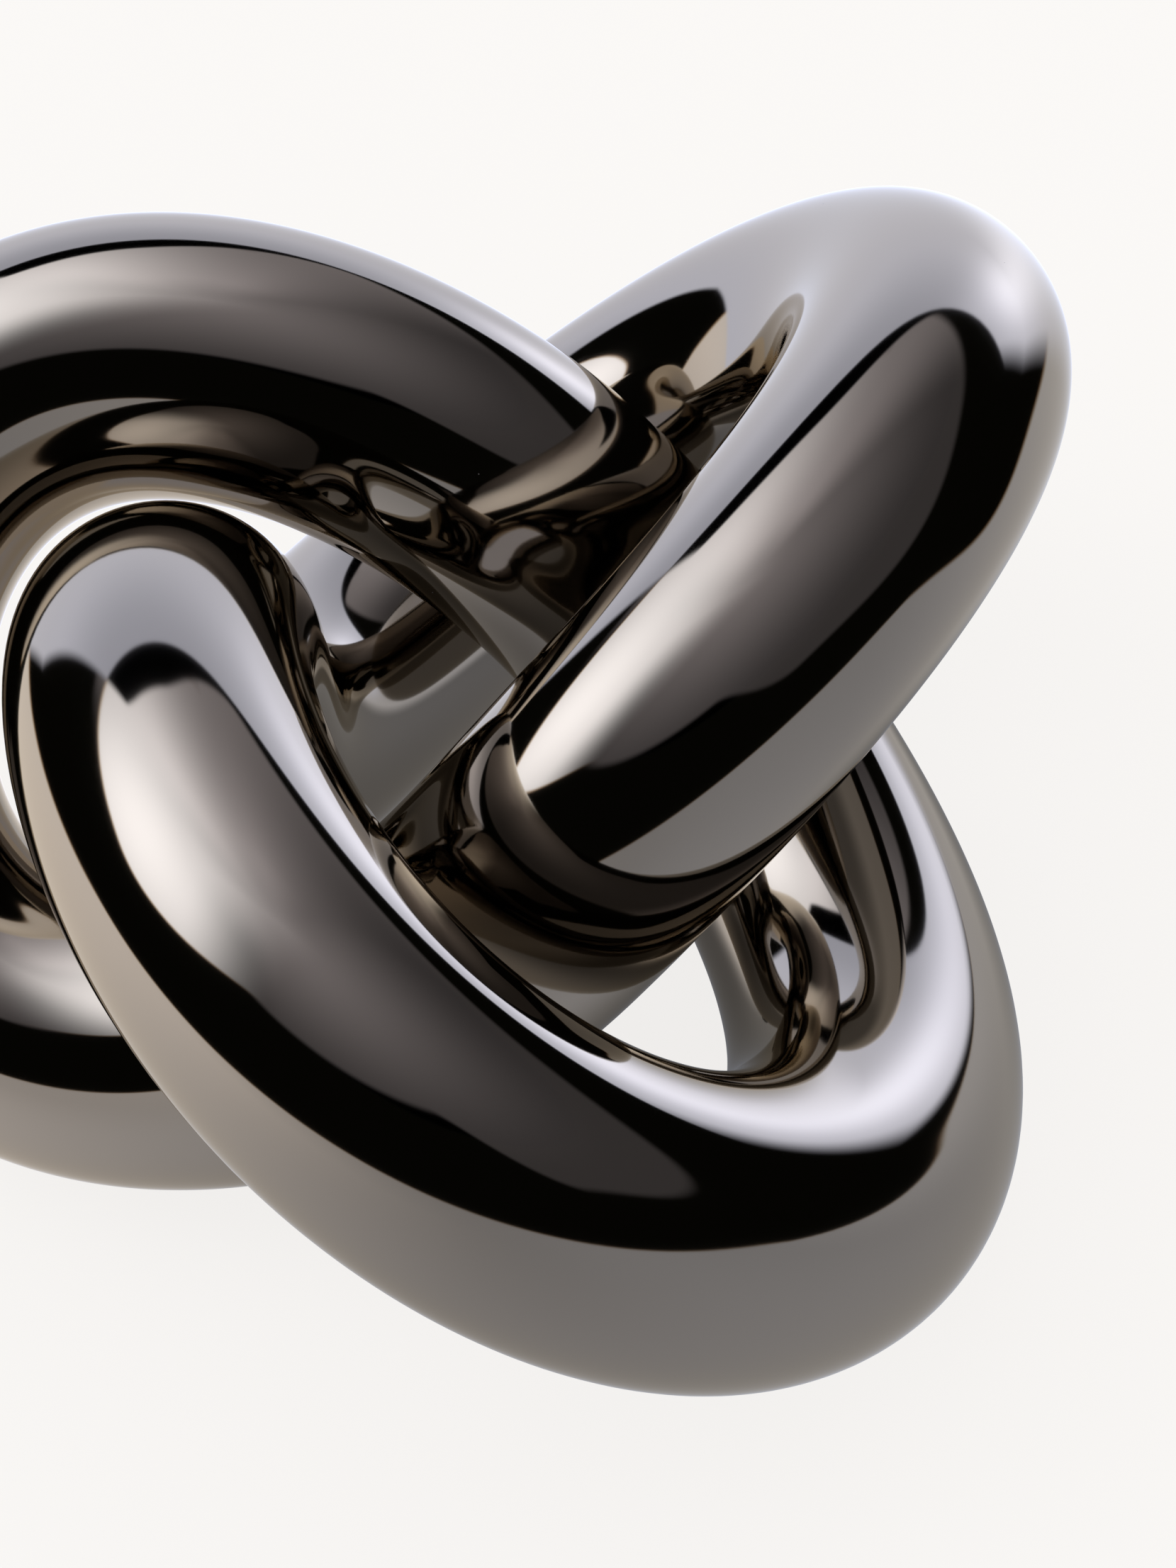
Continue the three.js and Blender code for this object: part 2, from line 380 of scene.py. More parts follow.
def black_nickel():
    """Polished plating with faint clouds of haze, slow ripples and a little dust."""
    finish = sizes("knot_finish")
    haze_size = 60 * MM
    haze_depth = 0.03
    haze_roughness = 0.015
    speck = 0.12 * MM
    dusted_share = 0.06
    dust_roughness = 0.6
    dust_colour = (0.45, 0.44, 0.42, 1.0)

    material, recipe, shader, position = new_material("black_nickel")
    feeds = {"Position": position, "Size": haze_size, "Detail": 3.0}
    haze = recipe.group(shared(mottle_group), feeds)["Mottle"]
    feeds = {"Position": position, "Size": finish.ripple_size, "Detail": 0.0}
    ripple = recipe.group(shared(mottle_group), feeds)["Mottle"]
    feeds = {
        "Position": position,
        "Spacing": finish.dust_spacing,
        "Speck": speck,
        "Share": dusted_share,
    }
    dust = recipe.group(shared(dust_group), feeds)["Dust"]

    deep = with_alpha(finish.nickel, 1 - haze_depth)
    light = with_alpha(finish.nickel, 1 + haze_depth)
    plating = mixed(recipe, haze, deep, light)
    recipe.feed(shader.inputs["Base Color"], mixed(recipe, dust, plating, dust_colour))
    shader.inputs["Metallic"].default_value = 1.0
    shader.inputs["Specular Tint"].default_value = with_alpha(finish.nickel_edge)
    clean = finish.nickel_roughness
    hazed = recipe.ramp(haze, start=0.3, end=0.7, low=clean, high=clean + haze_roughness)
    rough = recipe.maths("MAXIMUM", hazed, recipe.maths("MULTIPLY", dust, dust_roughness))
    recipe.feed(shader.inputs["Roughness"], rough)
    bumped(recipe, shader, ripple, finish.ripple_height)
    return material


def bare_aluminium():
    """Bare extruded metal with a mill finish."""
    finish = sizes("knot_finish")
    mill_size = 4 * MM
    mill_depth = 0.15
    mill_height = 0.02 * MM

    material, recipe, shader, position = new_material("bare_aluminium")
    feeds = {"Position": position, "Size": mill_size, "Detail": 4.0}
    mill = recipe.group(shared(mottle_group), feeds)["Mottle"]
    deep = with_alpha(finish.ring, 1 - mill_depth)
    recipe.feed(shader.inputs["Base Color"], mixed(recipe, mill, deep, with_alpha(finish.ring)))
    shader.inputs["Metallic"].default_value = 1.0
    rough = recipe.ramp(mill, start=0.2, end=0.8, low=0.35, high=0.55)
    recipe.feed(shader.inputs["Roughness"], rough)
    bumped(recipe, shader, mill, mill_height)
    return material


def foot_rubber():
    """Matt rubber with a moulded skin and dust."""
    finish = sizes("knot_finish")
    skin_size = 0.6 * MM
    skin_height = 0.03 * MM
    skin_contrast = 1.6
    dust_spacing = 1.5 * MM
    speck = 0.06 * MM
    dusted_share = 0.3
    dust_colour = (0.25, 0.24, 0.22, 1.0)

    material, recipe, shader, position = new_material("foot_rubber")
    feeds = {"Position": position, "Size": skin_size, "Detail": 2.0}
    skin = recipe.group(shared(mottle_group), feeds)["Mottle"]
    feeds = {"Position": position, "Spacing": dust_spacing, "Speck": speck, "Share": dusted_share}
    dust = recipe.group(shared(dust_group), feeds)["Dust"]
    light = with_alpha(finish.rubber, skin_contrast)
    moulded = mixed(recipe, skin, with_alpha(finish.rubber), light)
    recipe.feed(shader.inputs["Base Color"], mixed(recipe, dust, moulded, dust_colour))
    rough = recipe.ramp(skin, start=0.3, end=0.7, low=0.65, high=0.85)
    recipe.feed(shader.inputs["Roughness"], rough)
    bumped(recipe, shader, skin, skin_height)
    return material


# Knot


def swing_group():
    """One circular swing of a point of the centreline."""
    inputs = {"Angle": "Float", "Radius": "Float", "Turns": "Float"}
    recipe, given, made = new_tree("Swing", "GeometryNodeTree", inputs, {"Offset": "Vector"})
    turned = recipe.maths("MULTIPLY", given["Angle"], given["Turns"])
    x = recipe.maths("COSINE", turned)
    y = recipe.maths("SINE", turned)
    outward = recipe.scaled(recipe.combined(x, y), given["Radius"])
    recipe.feed(made["Offset"], recipe.scaled(outward, -1.0))
    return recipe.tree


def wave_group():
    """One wave that lifts a point of the centreline."""
    inputs = {"Angle": "Float", "Height": "Float", "Turns": "Float"}
    recipe, given, made = new_tree("Wave", "GeometryNodeTree", inputs, {"Offset": "Vector"})
    turned = recipe.maths("MULTIPLY", given["Angle"], given["Turns"])
    height = recipe.maths("MULTIPLY", recipe.maths("SINE", turned), given["Height"])
    recipe.feed(made["Offset"], recipe.combined(z=height))
    return recipe.tree


def centreline_group():
    """The closed centreline, with as many stations as asked for."""
    inputs = {"Stations": "Int", "Knot Centre": "Vector"}
    inputs |= {name: "Float" for name in (*SWINGS, *WAVES)}
    recipe, given, made = new_tree("Centreline", "GeometryNodeTree", inputs, {"Curve": "Geometry"})
    circle = recipe.node("GeometryNodeCurvePrimitiveCircle", {"Resolution": given["Stations"]})
    station = recipe.node("GeometryNodeInputIndex").outputs[0]
    turn = recipe.maths("DIVIDE", station, given["Stations"])
    around = recipe.maths("MULTIPLY", turn, math.tau)
    swing = swing_group()
    wave = wave_group()
    point = given["Knot Centre"]
    for name, turns in SWINGS.items():
        feeds = {"Angle": around, "Radius": given[name], "Turns": float(turns)}
        point = recipe.vector_maths("ADD", point, recipe.group(swing, feeds)["Offset"])
    for name, turns in WAVES.items():
        feeds = {"Angle": around, "Height": given[name], "Turns": float(turns)}
        point = recipe.vector_maths("ADD", point, recipe.group(wave, feeds)["Offset"])
    feeds = {"Geometry": circle.outputs["Curve"], "Position": point}
    carried = recipe.node("GeometryNodeSetPosition", feeds).outputs[0]
    even = recipe.node("GeometryNodeSetCurveNormal", {"Curve": carried}, mode="MINIMUM_TWIST")
    recipe.feed(made["Curve"], even.outputs[0])
    return recipe.tree


def tube_group(centreline):
    """A closed round tube along the centreline."""
    inputs = {"Stations": "Int", "Faces": "Int", "Radius": "Float", "Knot Centre": "Vector"}
    inputs |= {name: "Float" for name in (*SWINGS, *WAVES)}
    recipe, given, made = new_tree("Tube", "GeometryNodeTree", inputs, {"Mesh": "Geometry"})
    names = ("Stations", "Knot Centre", *SWINGS, *WAVES)
    curve = recipe.group(centreline, {name: given[name] for name in names})["Curve"]
    feeds = {"Resolution": given["Faces"], "Radius": given["Radius"]}
    section = recipe.node("GeometryNodeCurvePrimitiveCircle", feeds)
    feeds = {"Curve": curve, "Profile Curve": section.outputs["Curve"]}
    recipe.feed(made["Mesh"], recipe.node("GeometryNodeCurveToMesh", feeds).outputs[0])
    return recipe.tree


def placed(recipe, mesh, place):
    """A mesh moved to its place."""
    return recipe.node("GeometryNodeTransform", {"Geometry": mesh, "Translation": place}).outputs[0]


def finished(recipe, mesh, crease, material):
    """Smooth faces with crisp creases, and the material."""
    smooth = recipe.node("GeometryNodeSetShadeSmooth", {"Geometry": mesh}).outputs[0]
    bend = recipe.node("GeometryNodeInputMeshEdgeAngle").outputs["Unsigned Angle"]
    feeds = {
        "Geometry": smooth,
        "Selection": recipe.maths("GREATER_THAN", bend, crease),
        "Shade Smooth": False,
    }
    creased = recipe.node("GeometryNodeSetShadeSmooth", feeds, domain="EDGE").outputs[0]
    real = recipe.node("GeometryNodeRealizeInstances", {"Geometry": creased}).outputs[0]
    feeds = {"Geometry": real, "Material": material}
    return recipe.node("GeometryNodeSetMaterial", feeds).outputs[0]


def skin_tree():
    """The polished skin: a hollow tube, ground flat in three places and drilled there."""
    inputs = {
        "Stations": "Int",
        "Faces": "Int",
        "Tube Radius": "Float",
        "Bore Stations": "Int",
        "Bore Faces": "Int",
        "Bore Radius": "Float",
        "Flat Height": "Float",
        "Vent Radius": "Float",
        "Crease": "Float",
        "Knot Centre": "Vector",
        "Material": "Material",
    }
    inputs |= {foot: "Vector" for foot in FEET}
    inputs |= {name: "Float" for name in (*SWINGS, *WAVES)}
    recipe, given, made = new_tree("Skin", "GeometryNodeTree", inputs, {"Mesh": "Geometry"})
    tube = tube_group(centreline_group())
    path = {name: given[name] for name in ("Knot Centre", *SWINGS, *WAVES)}
    feeds = {"Stations": given["Stations"], "Faces": given["Faces"], "Radius": given["Tube Radius"]}
    outside = recipe.group(tube, feeds | path)["Mesh"]
    feeds = {
        "Stations": given["Bore Stations"],
        "Faces": given["Bore Faces"],
        "Radius": given["Bore Radius"],
    }
    bore = recipe.group(tube, feeds | path)["Mesh"]

    cut_depth = 20 * MM
    block_size = (500 * MM, 500 * MM, cut_depth)
    vent_faces = 48
    block = recipe.node("GeometryNodeMeshCube", {"Size": block_size}).outputs[0]
    drop = recipe.maths("SUBTRACT", given["Flat Height"], cut_depth / 2)
    cutters = [bore, placed(recipe, block, recipe.combined(z=drop))]
    feeds = {"Vertices": vent_faces, "Radius": given["Vent Radius"], "Depth": cut_depth}
    drill = recipe.node("GeometryNodeMeshCylinder", feeds).outputs[0]
    cutters += [placed(recipe, drill, given[foot]) for foot in FEET]

    cut = recipe.node("GeometryNodeMeshBoolean", operation="DIFFERENCE", solver="MANIFOLD")
    recipe.feed(cut.inputs["Mesh 1"], outside)
    for cutter in cutters:
        recipe.feed(cut.inputs["Mesh 2"], cutter)
    mesh = finished(recipe, cut.outputs["Mesh"], given["Crease"], given["Material"])
    recipe.feed(made["Mesh"], mesh)
    return recipe.tree


def centreline_points(shape):
    """The centreline about the knot's own middle, a point for each degree."""
    points = []
    for degrees in range(360):
        around = math.radians(degrees)
        x = -sum(getattr(shape, name) * math.cos(turns * around) for name, turns in SWINGS.items())
        y = -sum(getattr(shape, name) * math.sin(turns * around) for name, turns in SWINGS.items())
        z = sum(getattr(shape, name) * math.sin(turns * around) for name, turns in WAVES.items())
        points.append(Vector((x, y, z)))
    return points


def knot_centre(shape):
    """The knot's own middle in the frame: its box is centred, and its flats are at their height."""
    points = centreline_points(shape)
    xs = [point.x for point in points]
    lowest = min(point.z for point in points)
    height = shape.flat_height - shape.flat_depth - lowest + shape.tube_radius
    return Vector((-(min(xs) + max(xs)) / 2, 0, height))


def foot_places():
    """Where each foot meets the table, from the CAD."""
    places = {}
    for foot in FEET:
        low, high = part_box(foot)
        places[foot] = Vector(((low.x + high.x) / 2, (low.y + high.y) / 2, 0))
    return places


class KNOT_OT_skin(bpy.types.Operator):
    """Makes the polished skin of the knot in place of the nine castings"""

    bl_idname = "knot_sculpture.skin"
    bl_label = "Polished skin"

    def execute(self, context):
        shape = sizes("knot_shape")
        values = {name: getattr(shape, name) for name in (*SWINGS, *WAVES)}
        values |= {
            "Stations": shape.stations,
            "Faces": shape.faces,
            "Tube Radius": shape.tube_radius,
            "Bore Stations": shape.bore_stations,
            "Bore Faces": shape.bore_faces,
            "Bore Radius": shape.tube_radius - shape.wall,
            "Flat Height": shape.flat_height,
            "Vent Radius": shape.vent_radius,
            "Crease": shape.crease,
            "Knot Centre": knot_centre(shape),
            "Material": black_nickel(),
        }
        skin = grown("knot_skin", skin_tree(), values | foot_places())
        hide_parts(*CASTINGS)
        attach(skin, BODY)
        return {"FINISHED"}


# Feet


def rounded(centre, radius, start, end, steps=5):
    """Points of an arc of a profile, between two angles in degrees."""
    angles = [math.radians(start + (end - start) * i / steps) for i in range(steps + 1)]
    return [(centre[0] + radius * math.cos(a), centre[1] + radius * math.sin(a)) for a in angles]


def foot_profile(foot):
    """Radius and height round the section of a foot, from the middle of its underside."""
    edge = foot.head_round
    rim = foot.head_radius - edge
    barb_top = foot.barb_bottom + foot.barb_length
    profile = [(0, foot.dimple_depth)]
    profile += [(foot.dimple_radius - foot.dimple_depth, foot.dimple_depth)]
    profile += [(foot.dimple_radius, 0)]
    profile += rounded((rim, edge), edge, -90, 0)
    profile += rounded((rim, foot.head_height - edge), edge, 0, 90)
    profile += [(foot.stem_radius, foot.head_height)]
    profile += [(foot.stem_radius, foot.barb_bottom)]
    profile += [(foot.barb_radius, foot.barb_bottom)]
    profile += [(foot.tip_radius, barb_top)]
    profile += [(0, barb_top)]
    return profile


def turned_mesh(name, profile, faces):
    """A closed mesh turned about Z from a profile that starts and ends on the axis."""
    mesh = bpy.data.meshes.new(name)
    bm = bmesh.new()
    points = [bm.verts.new((radius, 0, height)) for radius, height in profile]
    edges = [bm.edges.new(pair) for pair in zip(points, points[1:])]
    bmesh.ops.spin(
        bm,
        geom=points + edges,
        cent=(0, 0, 0),
        axis=(0, 0, 1),
        angle=math.tau,
        steps=faces,
        use_merge=True,
    )
    bmesh.ops.remove_doubles(bm, verts=bm.verts, dist=0.001 * MM)
    bmesh.ops.recalc_face_normals(bm, faces=bm.faces)
    bm.to_mesh(mesh)
    bm.free()
    return mesh


def feet_tree():
    """A foot on each of the three places."""
    inputs = {"Foot": "Object", "Crease": "Float", "Material": "Material"}
    inputs |= {foot: "Vector" for foot in FEET}
    recipe, given, made = new_tree("Feet", "GeometryNodeTree", inputs, {"Mesh": "Geometry"})
    joined = recipe.node("GeometryNodeJoinGeometry")
    for foot in FEET:
        point = recipe.node("GeometryNodePoints", {"Count": 1, "Position": given[foot]})
        recipe.feed(joined.inputs[0], point.outputs[0])
    pattern = recipe.node("GeometryNodeObjectInfo", {"Object": given["Foot"]}).outputs["Geometry"]
    feeds = {"Points": joined.outputs[0], "Instance": pattern}
    stood = recipe.node("GeometryNodeInstanceOnPoints", feeds).outputs[0]
    real = recipe.node("GeometryNodeRealizeInstances", {"Geometry": stood}).outputs[0]
    recipe.feed(made["Mesh"], finished(recipe, real, given["Crease"], given["Material"]))
    return recipe.tree


class KNOT_OT_feet(bpy.types.Operator):
    """Makes the three push-in feet in place of the CAD's"""

    bl_idname = "knot_sculpture.feet"
    bl_label = "Feet"

    def execute(self, context):
        foot = sizes("foot_shape")
        pattern = shown("foot_pattern", turned_mesh("foot_pattern", foot_profile(foot), foot.faces))
        values = {
            "Foot": pattern,
            "Crease": foot.crease,
            "Material": foot_rubber(),
        }
        feet = grown("bumper_feet", feet_tree(), values | foot_places())
        bpy.data.objects.remove(pattern)
        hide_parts(*FEET)
        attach(feet, BODY)
        return {"FINISHED"}


# Rings


class KNOT_OT_rings(bpy.types.Operator):
    """Gives the backing rings inside the joints their bare aluminium"""

    bl_idname = "knot_sculpture.rings"
    bl_label = "Backing rings"

    def execute(self, context):
        metal = bare_aluminium()
        for name in RINGS:
            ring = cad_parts[name]
            ring.data.materials.clear()
            ring.data.materials.append(metal)
        return {"FINISHED"}


# Studio


class View:
    """A direction out of the knot: its parts, and its angles in degrees. The azimuth grows to the
    right from the front, and the angle called behind grows to the left from the rear."""

    def __init__(self, recipe, direction):
        self.direction = direction
        self.x, self.y, z = recipe.node("ShaderNodeSeparateXYZ", {"Vector": direction}).outputs
        left = recipe.maths("MULTIPLY", self.x, -1.0)
        front = recipe.maths("MULTIPLY", self.y, -1.0)
        self.azimuth = recipe.maths("DEGREES", recipe.maths("ARCTAN2", self.x, front))
        self.behind = recipe.maths("DEGREES", recipe.maths("ARCTAN2", left, self.y))
        self.elevation = recipe.maths("DEGREES", recipe.maths("ARCSINE", z))


def bell(recipe, value, middle, width):
    """A smooth bump of height 1 at the middle."""
    offset = recipe.maths("DIVIDE", recipe.maths("SUBTRACT", value, middle), width)
    square = recipe.maths("MULTIPLY", offset, offset)
    return recipe.maths("EXPONENT", recipe.maths("MULTIPLY", square, -1.0))


def window(recipe, value, start, end, edge):
    """1 from start to end, with soft edges."""
    rise = recipe.ramp(value, start - edge, start + edge)
    fall = recipe.ramp(value, end - edge, end + edge, low=1.0, high=0.0)
    return recipe.maths("MULTIPLY", rise, fall)


def warm_edged(recipe, mask):
    """A mask for laid_over whose edge is warm, as plated metal shows it."""
    green_power = 1.25
    blue_power = 1.6
    green = recipe.maths("POWER", mask, green_power)
    blue = recipe.maths("POWER", mask, blue_power)
    return recipe.combined(mask, green, blue)


def laid_over(recipe, under, over, mask):
    """One light over another where the mask of its three colours is 1."""
    kept = recipe.vector_maths("SUBTRACT", (1.0, 1.0, 1.0), mask)
    under = recipe.vector_maths("MULTIPLY", under, kept)
    return recipe.vector_maths("ADD", under, recipe.vector_maths("MULTIPLY", over, mask))


def sweep(recipe, view):
    """The pale floor, tilted up in front: where it is seen, and its light. The rim's heights are in
    degrees above the horizon."""
    studio = sizes("knot_studio")
    rim_middle = -1.2
    rim_tilt = 10.5
    highest_at = 5.0
    dip_depth = 6.5
    turned = recipe.maths("RADIANS", recipe.maths("SUBTRACT", view.azimuth, highest_at))
    rim = recipe.maths("MULTIPLY_ADD", recipe.maths("COSINE", turned), rim_tilt, rim_middle)
    dip = bell(recipe, view.azimuth, middle=106.0, width=14.0)
    rim = recipe.maths("SUBTRACT", rim, recipe.maths("MULTIPLY", dip, dip_depth))
    seen = recipe.ramp(recipe.maths("SUBTRACT", rim, view.elevation), start=-0.5, end=0.9)

    middle_gain = 0.12
    fall_to_right = 1.8
    middle = bell(recipe, view.elevation, middle=-33.0, width=20.0)
    back = recipe.ramp(view.y, start=-0.2, end=0.8, low=0.31, high=0.62)
    right = recipe.ramp(view.x, start=0.0, end=0.9, high=0.12)
    level = recipe.maths("MULTIPLY_ADD", middle, middle_gain, back)
    plain = recipe.scaled(tuple(studio.sweep), recipe.maths("ADD", level, right))
    leftward = recipe.maths("EXPONENT", recipe.maths("MULTIPLY", view.x, -fall_to_right))
    lit = recipe.scaled(tuple(studio.lit_sweep), leftward)
    return seen, recipe.vector_maths("ADD", plain, lit)


def backdrop(recipe, view, floor):
    """The lit wall behind: where it is seen, its light down to the floor, and a mask of the room
    that leaves out the dark gap above the wall."""
    studio = sizes("knot_studio")
    wall_middle = 30.0
    wall_height = math.tan(math.radians(34))
    side_lean = 0.25
    off_middle = recipe.maths("SUBTRACT", view.behind, wall_middle)
    facing = recipe.maths("COSINE", recipe.maths("RADIANS", off_middle))
    top = recipe.maths("ARCTANGENT", recipe.maths("MULTIPLY", facing, wall_height))
    top = recipe.maths("DEGREES", top)
    leaning = recipe.maths("MULTIPLY_ADD", view.elevation, side_lean, view.behind)
    from_right = recipe.ramp(view.behind, start=-47.0, end=-38.0)
    to_left = recipe.ramp(leaning, start=55.5, end=59.0, low=1.0, high=0.0)
    side = recipe.maths("MULTIPLY", from_right, to_left)
    under_top = recipe.ramp(recipe.maths("SUBTRACT", top, view.elevation), start=-0.6, end=0.6)
    seen = recipe.maths("MULTIPLY", side, under_top)

    hot_column = 0.2
    hot_spot = 0.95
    spot = bell(recipe, view.elevation, middle=2.0, width=11.0)
    column = bell(recipe, view.behind, middle=-26.0, width=10.0)
    hot = recipe.maths("MULTIPLY_ADD", spot, hot_spot, hot_column)
    hot = recipe.maths("MULTIPLY", hot, column)
    level = recipe.ramp(view.elevation, start=5.0, end=33.0, low=1.1, high=0.75)
    wall = recipe.scaled(tuple(studio.backdrop), recipe.maths("ADD", level, hot))

    slant = 0.4
    slant_end = 10.0
    slanted = recipe.maths("MINIMUM", view.behind, slant_end)
    slanted = recipe.maths("MULTIPLY_ADD", slanted, slant, view.elevation)
    risen = recipe.ramp(slanted, start=-38.0, end=-17.0)
    light = laid_over(recipe, floor, wall, recipe.combined(risen, risen, risen))

    off_middle = recipe.maths("ABSOLUTE", off_middle)
    gap = recipe.ramp(off_middle, start=10.0, end=46.0, low=9.0, high=0.8)
    past_gap = recipe.maths("SUBTRACT", recipe.maths("SUBTRACT", view.elevation, top), gap)
    before_end = recipe.ramp(past_gap, start=-0.5, end=1.5, low=1.0, high=0.0)
    in_gap = recipe.maths("MULTIPLY", side, before_end)
    return recipe.combined(seen, seen, seen), light, recipe.maths("SUBTRACT", 1.0, in_gap)


def soft_light(recipe, view):
    """The big soft light at the left, cut off below by a flag."""
    studio = sizes("knot_studio")
    azimuth = math.radians(-92)
    elevation = math.radians(43)
    towards = (
        math.sin(azimuth) * math.cos(elevation),
        -math.cos(azimuth) * math.cos(elevation),
        math.sin(elevation),
    )
    focus = 4.6
    feeds = {0: view.direction, 1: towards}
    facing = recipe.node("ShaderNodeVectorMath", feeds, operation="DOT_PRODUCT").outputs["Value"]
    glow = recipe.maths("EXPONENT", recipe.maths("MULTIPLY_ADD", facing, focus, -focus))
    off_left = recipe.maths("SUBTRACT", view.x, recipe.maths("MINIMUM", view.y, 0.0))
    at_left = recipe.ramp(off_left, start=-0.42, end=0.22, low=1.0, high=0.0)
    light = recipe.scaled(tuple(studio.soft_light), recipe.maths("MULTIPLY", glow, at_left))

    flag_height = 19.5
    flag_slope = -0.1
    flag = recipe.maths("MULTIPLY_ADD", view.azimuth, flag_slope, flag_height)
    raised = recipe.ramp(view.azimuth, start=-88.0, end=-30.0, high=26.0)
    flag = recipe.maths("ADD", flag, raised)
    above_flag = recipe.ramp(recipe.maths("SUBTRACT", view.elevation, flag), start=-0.8, end=1.2)
    return laid_over(recipe, tuple(studio.darkness), light, warm_edged(recipe, above_flag))


def ceiling(recipe, view):
    """The dim ceiling, with the camera's dark card in front of it."""
    studio = sizes("knot_studio")
    eaves_height = 28.0
    card_height = 19.0
    dip_depth = 9.0
    card = window(recipe, view.azimuth, start=-70.0, end=45.0, edge=16.0)
    dip = bell(recipe, view.azimuth, middle=92.0, width=22.0)
    eaves = recipe.maths("MULTIPLY_ADD", dip, -dip_depth, eaves_height)
    eaves = recipe.maths("MULTIPLY_ADD", card, card_height, eaves)
    over_eaves = recipe.ramp(recipe.maths("SUBTRACT", view.elevation, eaves), start=-1.0, end=2.0)

    climb = recipe.ramp(view.elevation, start=30.0, end=130.0, low=0.17, high=1.4)
    at_back = window(recipe, view.behind, start=-25.0, end=52.0, edge=20.0)
    back_light = recipe.ramp(view.elevation, start=70.0, end=88.0, low=0.65, high=0.0)
    back_light = recipe.maths("MULTIPLY", at_back, back_light)
    at_left = window(recipe, view.azimuth, start=-125.0, end=-42.0, edge=14.0)
    outshone = recipe.ramp(view.elevation, start=60.0, end=80.0, low=1.0, high=0.0)
    outshone = recipe.maths("MULTIPLY", at_left, outshone)
    level = recipe.maths("MULTIPLY", over_eaves, recipe.maths("ADD", climb, back_light))
    level = recipe.maths("MULTIPLY", level, recipe.maths("SUBTRACT", 1.0, outshone))
    return recipe.scaled(tuple(studio.ceiling), level)


def studio_group():
    """Brightness of the studio in each direction, as the metal sees it."""
    inputs = {"Direction": "Vector"}
    recipe, given, made = new_tree("Studio", "ShaderNodeTree", inputs, {"Color": "Color"})
    view = View(recipe, given["Direction"])
    on_sweep, sweep_light = sweep(recipe, view)
    on_backdrop, backdrop_light, clear_of_gap = backdrop(recipe, view, sweep_light)
    overhead = recipe.vector_maths("ADD", soft_light(recipe, view), ceiling(recipe, view))
    room = recipe.scaled(overhead, clear_of_gap)
    room = laid_over(recipe, room, sweep_light, warm_edged(recipe, on_sweep))
    recipe.feed(made["Color"], laid_over(recipe, room, backdrop_light, on_backdrop))
    return recipe.tree


def seen_direction(recipe, position):
    """Direction from the middle of the knot to a point of the stage."""
    middle = (0.0, 0.0, 70 * MM)
    return recipe.vector_maths("NORMALIZE", recipe.vector_maths("SUBTRACT", position, middle))


def room_material():
    """The studio's light, on the ball round everything."""
    material, recipe, position = blank_material("studio_room")
    feeds = {"Direction": seen_direction(recipe, position)}
    light = recipe.group(shared(studio_group), feeds)["Color"]
    glow = recipe.node("ShaderNodeEmission", {"Color": light})
    recipe.node("ShaderNodeOutputMaterial", {"Surface": glow.outputs[0]})
    return material


def floor_material():
    """Pale to the camera, with a soft shadow under the knot. The metal sees the studio's light on
    it, with a painted shadow under the knot.
    """
    studio = sizes("knot_studio")
    painted_shadow_middle = (50 * MM, 45 * MM, 0.0)
    painted_shadow_reach = (85 * MM, 115 * MM, 1.0)
    black = (0.0, 0.0, 0.0, 1.0)
    material, recipe, position = blank_material("pale_floor")
    feeds = {"Direction": seen_direction(recipe, position)}
    in_metal = recipe.group(shared(studio_group), feeds)["Color"]
    # Painted shadow: the floor that the metal sees is darkened in an ellipse under the knot, down
    # to 0.35 at its middle
    from_middle = recipe.vector_maths("SUBTRACT", position, painted_shadow_middle)
    stretched = recipe.vector_maths("DIVIDE", from_middle, painted_shadow_reach)
    far = recipe.node("ShaderNodeVectorMath", {0: stretched}, operation="LENGTH").outputs["Value"]
    painted_shadow_brightness = recipe.ramp(far, start=0.6, end=1.35, low=0.35)
    in_metal = recipe.scaled(in_metal, painted_shadow_brightness)

    paths = recipe.node("ShaderNodeLightPath").outputs
    glowing = with_alpha(studio.pale, 1 - studio.shade)
    tone = mixed(recipe, paths["Is Camera Ray"], in_metal, glowing)
    seen = recipe.maths("ADD", paths["Is Camera Ray"], paths["Is Glossy Ray"])
    seen = recipe.maths("ADD", seen, paths["Is Transmission Ray"])
    glow = recipe.node("ShaderNodeEmission", {"Color": tone, "Strength": seen})
    taking_shadow = with_alpha(studio.pale, studio.shade)
    paper_tone = mixed(recipe, paths["Is Glossy Ray"], taking_shadow, black)
    paper = recipe.node("ShaderNodeBsdfDiffuse", {"Color": paper_tone})
    both = recipe.node("ShaderNodeAddShader", {0: glow.outputs[0], 1: paper.outputs[0]})
    recipe.node("ShaderNodeOutputMaterial", {"Surface": both.outputs[0]})
    return material


def staged(name, build, material):
    """A piece of the stage whose mesh is made by a bmesh call."""
    mesh = bpy.data.meshes.new(name)
    bm = bmesh.new()
    build(bm)
    bm.to_mesh(mesh)
    bm.free()
    mesh.materials.append(material)
    made = shown(name, mesh)
    return made


def set_floor(room):
    """A pale disc that ends just inside the room."""
    inside = 0.97

    def disc(bm):
        bmesh.ops.create_circle(bm, cap_ends=True, segments=128, radius=room * inside)

    staged("floor", disc, floor_material())


def set_room(room):
    """A ball round everything that only the metal sees."""

    def dome(bm):
        bmesh.ops.create_uvsphere(bm, u_segments=96, v_segments=48, radius=room)

    walls = staged("studio_room", dome, room_material())
    walls.visible_camera = False
    walls.visible_diffuse = False
    walls.visible_shadow = False


def set_background(pale):
    """The pale background, which also lights the floor and the feet evenly."""
    world = bpy.data.worlds.new("pale_background")
    world.use_nodes = True
    background = world.node_tree.nodes["Background"]
    background.inputs["Color"].default_value = with_alpha(pale)
    background.inputs["Strength"].default_value = 1.0
    bpy.context.scene.world = world


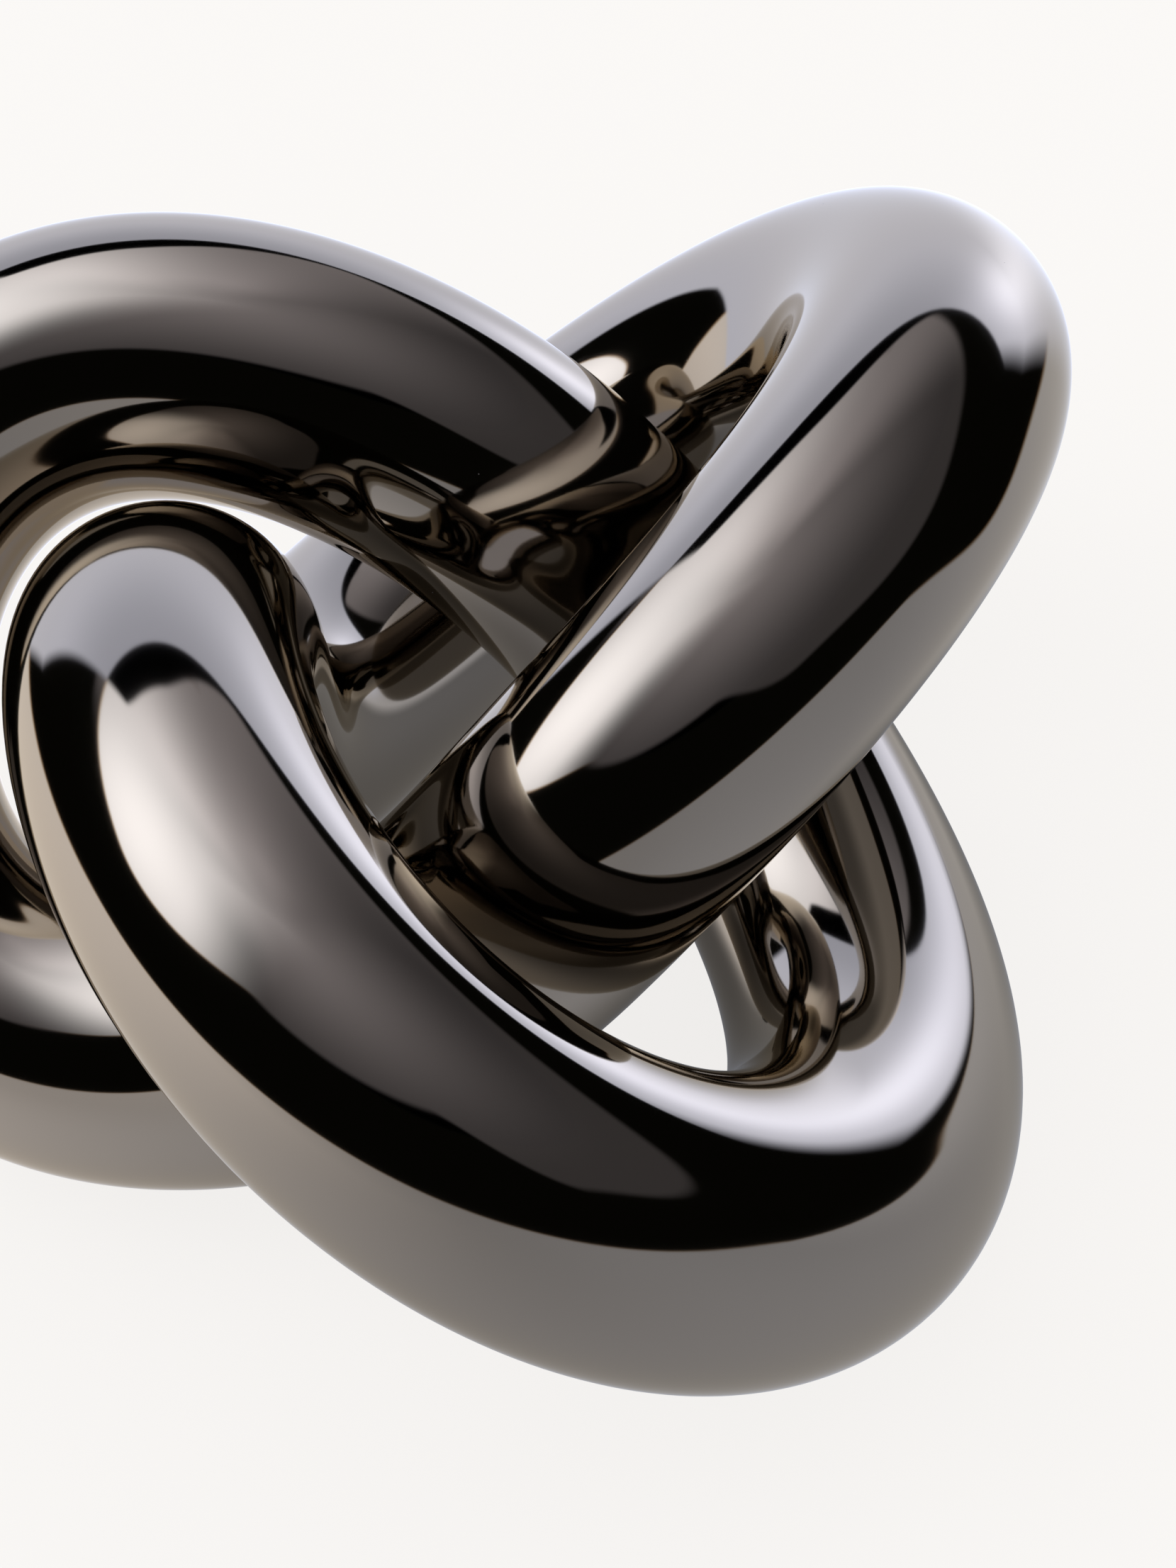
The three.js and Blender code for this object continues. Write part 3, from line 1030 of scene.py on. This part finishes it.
def set_lamp():
    """A soft lamp from the left for the shadow. The metal sees the studio's light in its place."""
    data = bpy.data.lights.new("soft_lamp", "SUN")
    data.energy = 0.5
    data.angle = math.radians(40)
    lamp = bpy.data.objects.new("soft_lamp", data)
    leaning = math.radians(-43)
    lamp.rotation_euler = (0, leaning, 0)
    lamp.visible_glossy = False
    bpy.context.scene.collection.objects.link(lamp)


def set_camera(studio):
    """The camera, aimed at its point and rolled about its view."""
    data = bpy.data.cameras.new("camera")
    data.lens = studio.lens
    data.sensor_width = 36
    data.clip_start = 0.01
    data.clip_end = 20
    camera = bpy.data.objects.new("camera", data)
    level = math.cos(studio.elevation)
    back = Vector(
        (
            math.sin(studio.azimuth) * level,
            -math.cos(studio.azimuth) * level,
            math.sin(studio.elevation),
        )
    )
    across = Vector((0, 0, 1)).cross(back).normalized()
    up = back.cross(across)
    right = across * math.cos(studio.roll) - up * math.sin(studio.roll)
    turned = Matrix((right, back.cross(right), back)).transposed()
    place = Vector(studio.aim) + back * studio.distance
    camera.matrix_world = Matrix.Translation(place) @ turned.to_4x4()
    bpy.context.scene.collection.objects.link(camera)
    bpy.context.scene.camera = camera


class KNOT_OT_stage(bpy.types.Operator):
    """Sets up the floor, the studio, the lamp and the camera"""

    bl_idname = "knot_sculpture.stage"
    bl_label = "Stage"

    def execute(self, context):
        studio = sizes("knot_studio")
        set_floor(studio.room)
        set_room(studio.room)
        set_background(studio.pale)
        set_lamp()
        set_camera(studio)
        context.scene.view_settings.view_transform = "Standard"
        return {"FINISHED"}


class KNOT_PT_panel(bpy.types.Panel):
    """Lists the sizes and the steps"""

    bl_label = "Knot sculpture"
    bl_idname = "KNOT_PT_panel"
    bl_space_type = "VIEW_3D"
    bl_region_type = "UI"
    bl_category = "Knot"

    def draw(self, context):
        layout = self.layout
        for operator in OPERATORS:
            layout.operator(operator.bl_idname)
        for name, group in GROUPS.items():
            box = layout.box()
            box.label(text=group.__doc__)
            values = getattr(context.scene, name)
            for key in group.__annotations__:
                box.prop(values, key)


OPERATORS = (KNOT_OT_skin, KNOT_OT_feet, KNOT_OT_rings, KNOT_OT_stage)
CLASSES = (*GROUPS.values(), *OPERATORS, KNOT_PT_panel)


def register():
    for each in CLASSES:
        bpy.utils.register_class(each)
    for name, group in GROUPS.items():
        setattr(bpy.types.Scene, name, bpy.props.PointerProperty(type=group))


def unregister():
    for name in GROUPS:
        delattr(bpy.types.Scene, name)
    for each in reversed(CLASSES):
        bpy.utils.unregister_class(each)


def main():
    register()
    bpy.ops.knot_sculpture.skin()
    bpy.ops.knot_sculpture.feet()
    bpy.ops.knot_sculpture.rings()
    bpy.ops.knot_sculpture.stage()


if __name__ == "__main__":
    main()
